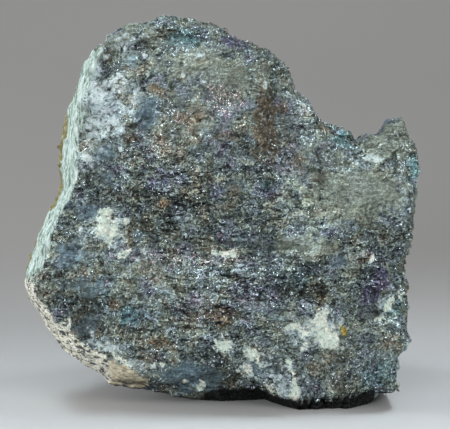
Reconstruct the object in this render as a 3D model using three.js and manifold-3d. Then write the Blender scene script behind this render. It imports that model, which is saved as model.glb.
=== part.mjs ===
import * as THREE from "three";
import { mergeVertices } from "three/addons/utils/BufferGeometryUtils.js";
import { ImprovedNoise } from "three/addons/math/ImprovedNoise.js";
import Module from "manifold-3d";

// Peacock ore (tarnished bornite): one broken lump that stands on a small flat foot.
// Millimetres, +Z up, +X right, the broken face towards -Y, the origin under the middle.
//
// The lump is drawn lying in the plane of its broken face: x right, y up, z out of the face.
// It is then leant back and cut off level at the foot.

const stoneWidth = 110; // the longest side, across the broken face
const leanBack = THREE.MathUtils.degToRad(12); // of the broken face from upright
const crownThickness = 34; // face to back at the top
const footThickness = 58; // face to back at the bottom
const crownHeight = 53; // top of the outline above the middle of the face
const footDrop = 56.3; // level of the foot below the middle of the face
const faceSegments = 38; // along each edge of the face
const rimSegments = 10; // from the face round the rim to the back
const rimAt = 0.3; // share of the way round at which the rim stands furthest out

// The outline, edge by edge, as it looks square-on from the sight distance.
// Top and bottom run to the right, left and right run down.
const sightDistance = 620;
const topLeft = [-34.7, 46.1];
const topRight = [51.1, 23.1];
const bottomLeft = [-31.1, -49.2];
const bottomRight = [49.3, -51.4];
const outline = {
  top: [
    topLeft, [-32.2, 48.1], [-28.9, 50.1], [-25.3, 51.7], [-20.5, 51.9], [-16.9, 53.2],
    [-12.2, 52.9], [-8.3, 51.9], [-2.8, 51.5], [-0.6, 50], [1.9, 48.1], [5, 47.1],
    [10.6, 45.3], [13.3, 42.8], [16.9, 39.7], [18.9, 36.9], [20.6, 32.5], [23.6, 29.7],
    [25.3, 27.5], [26.7, 24.4], [29.4, 23.3], [32.2, 22.9], [35.6, 21.9], [37.3, 20.6],
    [38.4, 17.8], [39.4, 19.9], [41.1, 21.3], [43.9, 21.9], [45.3, 23.6], [46.7, 24.9],
    [49.4, 24.4], topRight,
  ],
  bottom: [
    bottomLeft, [-28.3, -50], [-24.2, -49.7], [-19.4, -50.3], [-15, -51.4], [-11.7, -52.4],
    [-7.2, -53.2], [-5, -52.5], [-2.8, -51.1], [0.8, -50.3], [6.4, -50.4], [10.6, -51.1],
    [13.9, -52.2], [17.5, -53.1], [21.7, -53.5], [25.8, -53.5], [30, -53.2], [33.3, -52.6],
    [37.8, -51.8], [41.1, -51], [43.9, -50.8], [45.6, -51.4], bottomRight,
  ],
  left: [
    topLeft, [-36.9, 43.6], [-38.6, 41.1], [-39.6, 37.8], [-41.8, 30.3], [-43.3, 26.4],
    [-44.4, 21.7], [-45.6, 13.3], [-45.1, 8.6], [-45.6, 5], [-46.9, 1.7], [-48.6, -1.1],
    [-51.7, -7.8], [-53.1, -11.1], [-54.9, -18.3], [-54.7, -21.1], [-53.9, -23.9],
    [-52.2, -26.7], [-50.6, -29.7], [-49.4, -32.8], [-47.2, -35.3], [-43.3, -40.6],
    [-40, -42.8], [-33.9, -47.2], bottomLeft,
  ],
  right: [
    topRight, [51.7, 21.4], [51.5, 20], [52.8, 18.6], [54.2, 15.8], [55, 13.1], [54.3, 10],
    [53.9, 5.6], [53.6, 0.8], [53.1, -3.3], [53.1, -8.9], [52.5, -10.8], [51.4, -11.7],
    [51.2, -16.7], [51.4, -24.2], [52.4, -26.7], [51.9, -31.7], [51.7, -34.7],
    [52.8, -36.9], [51.1, -39.4], [49.4, -41.1], [48.6, -44.4], [48.3, -47.2],
    [49.2, -49.4], bottomRight,
  ],
};

// How the face turns over to the outline, at stations along each edge:
// share of the edge, how far in the face's arris lies, how far behind the face the outline lies.
const turnOver = {
  top: [[0, 1.5, 6], [0.2, 1.8, 6], [0.5, 1.6, 5], [0.8, 1.4, 4], [1, 1.3, 3]],
  bottom: [
    [0, 4.8, 11], [0.17, 4.4, 10], [0.3, 7, 6], [0.45, 6.5, 9], [0.6, 3, 5], [0.75, 1.8, 4],
    [1, 1.3, 3],
  ],
  left: [
    [0, 1.5, 6], [0.15, 2.8, 12], [0.3, 4.8, 18], [0.36, 3.6, 18], [0.46, 3, 16],
    [0.56, 4.6, 18], [0.68, 2, 14], [0.76, 2.6, 12], [0.86, 4.4, 12], [1, 4.8, 11],
  ],
  right: [[0, 1.3, 3], [0.3, 1.6, 4], [0.7, 1.4, 3], [1, 1.3, 3]],
};
// How far in the back lies behind the outline, and how the sides run there: an ease above 1
// leaves the outline squarely and slopes in further back. The underside swells down to the foot.
const backInset = { top: 10, bottom: -12, left: 11, right: 8 };
const backEase = { top: 1.3, bottom: 0.6, left: 1.3, right: 1.3 };
const backCalm = { share: 0.16, over: 0.35 }; // share of an edge over which the outline is evened
// out at the back, and the share of the way round over which that sets in
const calmSamples = 4; // on each side of an evened-out point

// The relief of the broken face: a broad swell, and the steps where it broke along a plane.
const faceSwell = { height: 5, spread: [44, 42] }; // middle of the face above its edges
const riserWidth = 2.5; // of a step
const stepFade = 8; // over which a step dies out at each end
const steps = [
  // from and to are the ends of the step's line. The low ground lies on its right-hand side
  // seen along it, sinks by drop at the line and runs out again over the reach.
  { name: "dark shelf", from: [20, -12.5], to: [-21, -9.5], drop: 5.6, reach: 21 },
  { name: "brown step", from: [12.5, 36], to: [10.5, 9], drop: -3.4, reach: 13 },
  { name: "right-hand recess", from: [37, -5], to: [38, -26], drop: -2.6, reach: 17 },
  { name: "streaked hollow", from: [36, -29], to: [17, -27], drop: 2.6, reach: 15 },
  { name: "corner lump", from: [51, -21], to: [42, -33], drop: 2.4, reach: 9 },
];
const hollows = [
  // middle, depth, half-width and half-height
  { name: "dark corner", at: [-38, -29], depth: 2.6, spread: [10, 9] },
  { name: "pale shoulder", at: [-35, 28], depth: 3.2, spread: [11, 20] },
  { name: "under-brow", at: [-28, 2], depth: 2.6, spread: [15, 7] },
  { name: "crown roll", at: [-8, 52], depth: 3.4, spread: [34, 9] },
  { name: "notch saddle", at: [37, 26], depth: 6, spread: [17, 19] },
  { name: "under-slope", at: [4, -56], depth: 4, spread: [50, 12] },
  { name: "lower bulge", at: [6, -27], depth: -2.6, spread: [24, 12] },
  { name: "upper bulge", at: [-8, 22], depth: -1.8, spread: [16, 16] },
];

// The back broke along a few larger planes: direction of each from the heart of the stone,
// in the drawn frame, and how far out it lies.
const heart = new THREE.Vector3(2, -4, -25);
const fractures = [
  { out: [-0.5, 0.25, -0.83], reach: 29 },
  { out: [0.55, 0.5, -0.67], reach: 31 },
  { out: [0.35, -0.35, -0.87], reach: 31 },
  { out: [0.86, -0.1, -0.5], reach: 43 },
  { out: [-0.1, 0.72, -0.69], reach: 34 },
  { out: [-0.72, -0.25, -0.65], reach: 41 },
  { out: [-0.45, -0.62, -0.64], reach: 37 },
];
const fractureHold = 0.88; // share of the overhang that a fracture takes away

// Natural unevenness of every surface, laid on along its normals and left off the rim.
const roughness = [
  { height: 1.3, length: 17, offset: 3.7 },
  { height: 0.8, length: 7.5, offset: 11.3 },
  { height: 0.4, length: 3.8, offset: 23.9 },
];
const backRoughness = { times: 2, from: 0.5, over: 0.4 }; // where that starts on the way round
const rimHold = 0.3; // share of the way round, on each side of the rim, over which it comes in

const noise = new ImprovedNoise();
const smooth = (x) => THREE.MathUtils.smoothstep(x, 0, 1);
const mix = THREE.MathUtils.lerp;

const curves = {};
for (const [edge, points] of Object.entries(outline)) {
  const corners = points.map(([x, y]) => new THREE.Vector3(x, y, 0));
  curves[edge] = new THREE.CatmullRomCurve3(corners, false, "centripetal");
}

// The inset and drop at a share of an edge, eased between its stations.
function turnAt(edge, share) {
  const stations = turnOver[edge];
  const next = Math.max(1, stations.findIndex(([at]) => at >= share));
  const [from, to] = [stations[next - 1], stations[next]];
  const part = smooth((share - from[0]) / (to[0] - from[0]));
  return { inset: mix(from[1], to[1], part), drop: mix(from[2], to[2], part) };
}

// Height of the broken face above its plane.
function faceRelief(x, y) {
  const [wide, high] = faceSwell.spread;
  let height = faceSwell.height * (Math.exp(-((x / wide) ** 2) - (y / high) ** 2) - 1 / 2);
  for (const { at, depth, spread } of hollows) {
    height -= depth * Math.exp(-(((x - at[0]) / spread[0]) ** 2) - ((y - at[1]) / spread[1]) ** 2);
  }
  for (const { from, to, drop, reach } of steps) {
    const along = new THREE.Vector2(to[0] - from[0], to[1] - from[1]);
    const length = along.length();
    along.divideScalar(length);
    const [dx, dy] = [x - from[0], y - from[1]];
    const run = dx * along.x + dy * along.y;
    const side = (dx * along.y - dy * along.x) * Math.sign(drop); // low ground is positive
    const ends = smooth(run / stepFade + 1) * smooth((length - run) / stepFade + 1);
    const runOut = 1 - smooth((side - riserWidth) / reach);
    const fall = side > 0 ? smooth(side / riserWidth) * runOut : 0;
    height -= Math.abs(drop) * ends * fall;
  }
  return height;
}

// A point on an edge's outline, evened out over the given share of it and held at its corners.
function outlinePoint(edge, share, calm) {
  const reach = Math.min(calm, share, 1 - share);
  const point = new THREE.Vector3();
  for (let i = -calmSamples; i <= calmSamples; i++) {
    point.add(curves[edge].getPoint(share + (reach * i) / calmSamples));
  }
  return point.divideScalar(2 * calmSamples + 1);
}

// A point on the contour that is the given share of the way round from the face to the back.
function contourPoint(edge, share, round) {
  const calm = backCalm.share * smooth((round - rimAt) / backCalm.over);
  const point = outlinePoint(edge, share, calm);
  const inwards = point.clone().negate().normalize();
  const { inset, drop } = turnAt(edge, share);
  const rimDrop = drop - faceRelief(point.x, point.y);
  if (round <= rimAt) {
    const over = round / rimAt;
    point.multiplyScalar(1 + (over * rimDrop) / sightDistance);
    point.addScaledVector(inwards, inset * (1 - over));
    point.z = mix(faceRelief(point.x, point.y), -rimDrop, over);
  } else {
    const behind = (round - rimAt) / (1 - rimAt);
    const height = (crownHeight - point.y) / (2 * crownHeight);
    const thickness = mix(crownThickness, footThickness, height);
    point.multiplyScalar(1 + rimDrop / sightDistance);
    point.addScaledVector(inwards, backInset[edge] * behind ** backEase[edge]);
    point.z = mix(-rimDrop, -thickness, behind);
  }
  return point;
}

// A point on the sheet that fills a contour, blended from its four edges.
function sheetPoint(across, down, round) {
  const [top, bottom] = ["top", "bottom"].map((edge) => contourPoint(edge, across, round));
  const [left, right] = ["left", "right"].map((edge) => contourPoint(edge, down, round));
  const corner = (edge, share) => contourPoint(edge, share, round);
  const point = new THREE.Vector3();
  point.addScaledVector(top, 1 - down).addScaledVector(bottom, down);
  point.addScaledVector(left, 1 - across).addScaledVector(right, across);
  point.addScaledVector(corner("top", 0), -(1 - across) * (1 - down));
  point.addScaledVector(corner("top", 1), -across * (1 - down));
  point.addScaledVector(corner("bottom", 0), -(1 - across) * down);
  point.addScaledVector(corner("bottom", 1), -across * down);
  return point;
}

// A box's grid is the stone's grid: its front is the broken face, its sides are the rim.
function lumpGeometry() {
  const grid = new THREE.BoxGeometry(2, 2, 2, faceSegments, faceSegments, rimSegments);
  grid.deleteAttribute("normal");
  grid.deleteAttribute("uv");
  const lump = mergeVertices(grid, 1e-4);
  const position = lump.getAttribute("position");
  const unevenness = [];
  const heartward = new THREE.Vector3();
  for (let i = 0; i < position.count; i++) {
    const across = (position.getX(i) + 1) / 2;
    const down = (1 - position.getY(i)) / 2;
    const round = (1 - position.getZ(i)) / 2;
    const onEdge = across < 1e-6 || across > 1 - 1e-6 || down < 1e-6 || down > 1 - 1e-6;
    const point = sheetPoint(across, down, round);
    if (!onEdge && round < 0.5) point.z = faceRelief(point.x, point.y);
    for (const { out, reach } of fractures) {
      const direction = new THREE.Vector3(...out).normalize();
      const over = heartward.subVectors(point, heart).dot(direction) - reach;
      if (over > 0) point.addScaledVector(direction, -over * fractureHold);
    }
    position.setXYZ(i, point.x, point.y, point.z);
    const offRim = onEdge ? smooth(Math.abs(round - rimAt) / rimHold) : 1;
    const towardsBack = smooth((round - backRoughness.from) / backRoughness.over);
    unevenness.push(offRim * mix(1, backRoughness.times, towardsBack));
  }
  roughen(lump, unevenness);
  return lump;
}

function roughen(geometry, unevenness) {
  geometry.computeVertexNormals();
  const position = geometry.getAttribute("position");
  const normal = geometry.getAttribute("normal");
  for (let i = 0; i < position.count; i++) {
    const point = new THREE.Vector3().fromBufferAttribute(position, i);
    let lift = 0;
    for (const { height, length, offset } of roughness) {
      lift += height * noise.noise(point.x / length + offset, point.y / length, point.z / length);
    }
    lift *= unevenness[i];
    point.addScaledVector(new THREE.Vector3().fromBufferAttribute(normal, i), lift);
    position.setXYZ(i, point.x, point.y, point.z);
  }
  geometry.deleteAttribute("normal");
}

const wasm = await Module();
wasm.setup();

function toSolid(geometry) {
  const vertProperties = new Float32Array(geometry.getAttribute("position").array);
  const triVerts = new Uint32Array(geometry.index.array);
  return new wasm.Manifold(new wasm.Mesh({ numProp: 3, vertProperties, triVerts }));
}

function toGeometry(solid) {
  const { vertProperties, triVerts } = solid.getMesh();
  const geometry = new THREE.BufferGeometry();
  geometry.setAttribute("position", new THREE.BufferAttribute(vertProperties, 3));
  return geometry.setIndex(new THREE.BufferAttribute(triVerts, 1));
}

// Stands the lump up, leant back, and cuts its foot off level at z = 0.
function standing(lump) {
  lump.rotateX(Math.PI / 2 - leanBack);
  lump.translate(0, 0, footDrop);
  const ground = new THREE.BoxGeometry(3 * stoneWidth, 3 * stoneWidth, stoneWidth);
  ground.deleteAttribute("normal");
  ground.deleteAttribute("uv");
  ground.translate(0, 0, -stoneWidth / 2);
  return toGeometry(toSolid(lump).subtract(toSolid(mergeVertices(ground))));
}

// Brings the longest side to size and the origin under the middle of the stone.
function placed(geometry) {
  geometry.computeBoundingBox();
  const size = geometry.boundingBox.getSize(new THREE.Vector3());
  const middle = geometry.boundingBox.getCenter(new THREE.Vector3());
  geometry.translate(-middle.x, -middle.y, 0);
  const scale = stoneWidth / size.x;
  return geometry.scale(scale, scale, scale);
}

const tarnishedBornite = new THREE.MeshStandardMaterial({
  color: 0x5f6a69,
  roughness: 0.55,
  metalness: 0.6,
  flatShading: true,
});

const oreChunk = new THREE.Mesh(placed(standing(lumpGeometry())), tarnishedBornite);
oreChunk.name = "ore_chunk";

const stone = new THREE.Group();
stone.add(oreChunk);

export default stone;
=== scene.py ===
import math
import bmesh
import bpy
import numpy as np
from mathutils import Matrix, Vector, noise


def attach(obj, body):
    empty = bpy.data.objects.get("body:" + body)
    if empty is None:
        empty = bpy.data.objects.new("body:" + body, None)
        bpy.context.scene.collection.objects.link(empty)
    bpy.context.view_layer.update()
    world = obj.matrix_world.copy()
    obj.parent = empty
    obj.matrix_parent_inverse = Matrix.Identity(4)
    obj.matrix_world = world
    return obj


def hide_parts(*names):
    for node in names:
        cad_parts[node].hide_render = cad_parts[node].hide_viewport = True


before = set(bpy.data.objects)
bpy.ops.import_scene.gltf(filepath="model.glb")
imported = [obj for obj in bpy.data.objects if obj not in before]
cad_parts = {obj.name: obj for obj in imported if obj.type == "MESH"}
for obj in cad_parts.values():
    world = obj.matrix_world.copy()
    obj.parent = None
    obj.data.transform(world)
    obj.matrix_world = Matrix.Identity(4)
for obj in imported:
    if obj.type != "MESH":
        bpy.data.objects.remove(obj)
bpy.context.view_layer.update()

mm = 0.001
leanBack = math.radians(12)                          # of the broken face from upright
faceMiddle = Vector((0.195, -18.396, 55.513)) * mm   # middle of the face's outline, on its plane
acrossFace = Vector((1, 0, 0))
upFace = Vector((0, math.sin(leanBack), math.cos(leanBack)))
outOfFace = Vector((0, -math.cos(leanBack), math.sin(leanBack)))
faceAxes = np.array([acrossFace, upFace, outOfFace]).T

cameraSet = {                    # metres, apart from the sensor's mm
    "distance": 0.6113,
    "aimAcross": 0.82 * mm,      # from the middle of the face
    "aimUp": -1.78 * mm,
    "fieldWidth": 0.12325,       # what the view's width takes in at the face
    "sensor": 36,
    "clip": (0.01, 30),
}


def makeCamera(s):
    data = bpy.data.cameras.new("studioCamera")
    camera = bpy.data.objects.new("studioCamera", data)
    bpy.context.scene.collection.objects.link(camera)
    aim = faceMiddle + acrossFace * s["aimAcross"] + upFace * s["aimUp"]
    camera.location = aim + outOfFace * s["distance"]
    camera.rotation_euler = (math.pi / 2 - leanBack, 0, 0)
    data.sensor_width = s["sensor"]
    data.lens = s["sensor"] * s["distance"] / s["fieldWidth"]
    data.clip_start, data.clip_end = s["clip"]
    bpy.context.scene.camera = camera


makeCamera(cameraSet)
print("camera set")

# The stone's surface. Places on the broken face are in mm from its middle: across it, and up it.

surfaceSet = {
    "voxel": 0.93 * mm,
    "evenings": 4,               # smoothing passes over the carried-over facets
    "fineFrom": -11,             # mm behind the face's plane where the fine grid begins
    "swell": [                   # soft unevenness: cell and height in mm
        (15, 0.5), (6.5, 0.4), (3.2, 0.25), (1.6, 0.16),
    ],
    "fineSwell": 5,              # mm: cells below this are halved on even ground
    "chips": [                   # flat broken facets: size in mm, slope
        (5.2, 0.16), (2.4, 0.22), (1.3, 0.24),
    ],
    "chipStretch": (1.6, 0.9, 1),    # across, up and out of the face
    "grain": [(1.0, 0.12), (0.6, 0.10)],
    "ledges": [                  # period, height, share of the period that is undercut
        (5.0, 0.5, 0.16), (2.4, 0.45, 0.24), (1.5, 0.28, 0.3),
    ],
    "ledgeStretch": 3.2,         # their length against their period
    "flattened": {               # how far each finish evens out the chips and ledges
        "mintRind": 0.8, "creamRind": 0.8, "slateBlue": 0.6, "even": 0.72, "creamCrust": 0.9,
    },
    "crust": (0.15, 0.25, 1.4),  # its thickness, unevenness and the cell of that, in mm
    "rindStreak": (3.4, 0.09),   # spacing and height of the ridges along the rind
    "creaseDepth": 0.6,
    "footHeld": (0.2, 3),        # mm above the floor: still up to the first, free from the second
    "frontRise": 1.3,            # of the underside, per mm in front of the contact line
    "hollowPasses": 6,           # smoothing passes that hollows and high spots are measured against
    "hollowDepth": 0.22,         # mm at which a hollow's painted shade is full
    "proudHeight": 0.2,          # mm at which a high spot's painted highlight is full
    "unlitBelow": (9, 4),        # mm above the floor, where the underside's painted shade begins and is full
    "unlitLook": (-0.55, -0.85), # and how far down a place looks there
    "lowerEdge": [               # of the broken face, where it hangs over the underside: across and up
        (-60, -60), (-6, -60), (-5.3, -52.4), (-3.3, -51.6), (0, -50.8), (2.8, -50.4), (10, -50.9),
        (11.9, -51.8), (14.2, -52.6), (16.4, -53.2), (21.7, -53.7), (30, -53.5), (32.8, -52.9),
        (38.3, -51.9), (41.1, -50.9), (42.8, -50.9), (44, -60), (60, -60),
    ],
    "contact": [                 # front line that the stone touches the floor along: x and y in mm
        (-14, -14), (-6, -16), (0, -17), (6, -16.5), (12, -15.5), (17, -21.5), (24, -27.5), (33, -26),
        (40, -20.5), (46, -15),
    ],
    "nudges": [                  # up or down the face near a place on it: across, up, radius, lift
        (37.6, 20, 1.5, -1.9), (33, 20, 2.6, 0.6), (43.6, 22.2, 1.5, -1.3), (47, 24, 1.8, 1.2),
        (50.6, 23.6, 1.6, 1.8),
    ],
}


def toFace(points):
    # world metres to mm across, up and out of the broken face
    shifted = (points - np.array(faceMiddle)) / mm
    return shifted @ faceAxes


def readVectors(mesh, name):
    values = np.empty(len(mesh.vertices) * 3, np.float32)
    mesh.vertices.foreach_get(name, values)
    return values.reshape(-1, 3).astype(float)


def writePoints(mesh, points):
    mesh.vertices.foreach_set("co", points.astype(np.float32).ravel())
    mesh.update()


def smoothStep(low, high, x):
    t = np.clip((x - low) / (high - low), 0, 1)
    return t * t * (3 - 2 * t)


def noiseAt(points, cell, seed, stretch=(1, 1, 1)):
    # smooth noise of about -1 to 1 with features that many mm across
    shift = np.array((seed * 13.7, seed * 5.3, seed * 9.1))
    places = points / (np.array(stretch) * cell) + shift
    return np.array([noise.noise(Vector(p)) for p in places]) * 1.6


def chipsAt(points, size, slope, seed, stretch):
    # height over flat facets, each tilted its own way about the middle of its cell
    shift = np.array((seed * 3.9, seed * 8.3, seed * 1.7))
    heights = np.empty(len(points))
    for i, p in enumerate(points / (np.array(stretch) * size) + shift):
        place = Vector(p)
        near = noise.voronoi(place)[1][0]
        tilt = noise.cell_vector(near * 7.31) * 2 - Vector((1, 1, 1))
        heights[i] = (place - near).dot(tilt)
    return heights * size * slope


def ledgesAt(points, period, undercut, seed, stretch):
    # ragged shelves one above the other: each slopes back going up, to a short undercut
    wander = 0.9 * noiseAt(points, 3 * period, seed, (stretch, 1, 1))
    wander += 0.35 * noiseAt(points, 0.8 * period, seed + 1, (stretch, 1, 1))
    course = np.mod((points[:, 1] + 0.08 * points[:, 0]) / period + wander, 1)
    shelf = np.where(course < 1 - undercut, 1 - course / (1 - undercut), (course - 1 + undercut) / undercut)
    return shelf - 0.5


def makeStoneMesh(s):
    bm = bmesh.new()
    bm.from_mesh(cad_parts["ore_chunk"].data)
    bmesh.ops.remove_doubles(bm, verts=bm.verts, dist=0.001 * mm)
    bmesh.ops.recalc_face_normals(bm, faces=bm.faces)
    mesh = bpy.data.meshes.new("peacock_ore")
    bm.to_mesh(mesh)
    bm.free()
    stone = bpy.data.objects.new("peacock_ore", mesh)
    bpy.context.scene.collection.objects.link(stone)
    evenGrid = stone.modifiers.new("evenGrid", "REMESH")
    evenGrid.mode = "VOXEL"
    evenGrid.voxel_size = s["voxel"]
    shown = stone.evaluated_get(bpy.context.evaluated_depsgraph_get())
    stone.data = bpy.data.meshes.new_from_object(shown)
    stone.modifiers.clear()
    return stone


def refineFront(stone, s):
    # evens the facets out, then halves the grid over the face and the rim
    bm = bmesh.new()
    bm.from_mesh(stone.data)
    loose = [v for v in bm.verts if v.co.z > 1.5 * s["voxel"]]
    for _ in range(s["evenings"]):
        bmesh.ops.smooth_vert(bm, verts=loose, factor=0.5, use_axis_x=True, use_axis_y=True, use_axis_z=True)
    fine = toFace(np.array([v.co for v in bm.verts]))[:, 2] > s["fineFrom"]
    edges = [e for e in bm.edges if all(fine[v.index] for v in e.verts)]
    bmesh.ops.subdivide_edges(bm, edges=edges, cuts=1, use_grid_fill=True)
    bm.to_mesh(stone.data)
    bm.free()
    stone.data.update()


stone = makeStoneMesh(surfaceSet)
refineFront(stone, surfaceSet)
triangles = sum(len(p.vertices) - 2 for p in stone.data.polygons)
print("surface grid of", triangles, "triangles")

# Where each finish lies. A patch is across, up, half-width, half-height in mm, turn in degrees
# and strength.

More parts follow.
